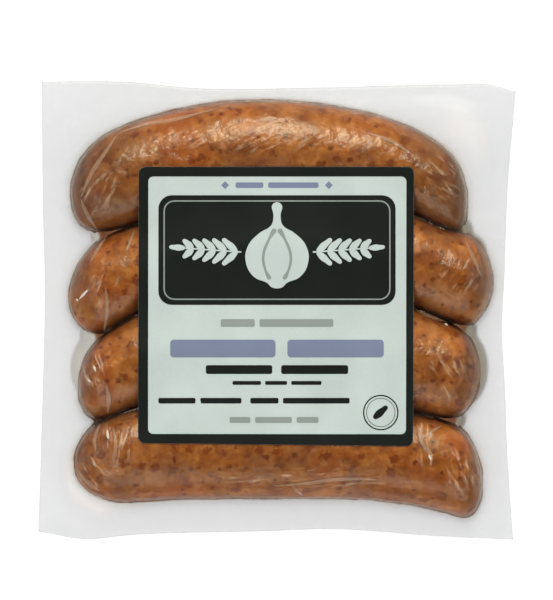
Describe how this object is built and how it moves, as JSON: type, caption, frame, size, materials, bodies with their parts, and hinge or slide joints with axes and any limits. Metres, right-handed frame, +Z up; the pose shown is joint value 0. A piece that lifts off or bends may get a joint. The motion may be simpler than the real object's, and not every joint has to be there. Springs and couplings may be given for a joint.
{
  "type": "vacuum pack of smoked sausage links",
  "caption": "Flat vacuum pack of smoked sausage links, side by side under tight clear film, with a sealed square rim and a plain square label over the middle.",
  "frame": {"origin": "on the resting plane, under the middle of the sealed rim's bounding square", "axes": "+X along the links, +Y across them towards the arched link, +Z up out of the label"},
  "size_m": [0.1622, 0.1558, 0.0296],
  "materials": {
    "film": "clear glossy vacuum film, drawn tight, with fine folds",
    "label": "coated pale label with a dark border, satin",
    "casing": "smoked brown sausage casing, mottled, with a soft gloss"
  },
  "bodies": {
    "root": {"pouch": "film", "label": "label"}
  },
  "joints": []
}
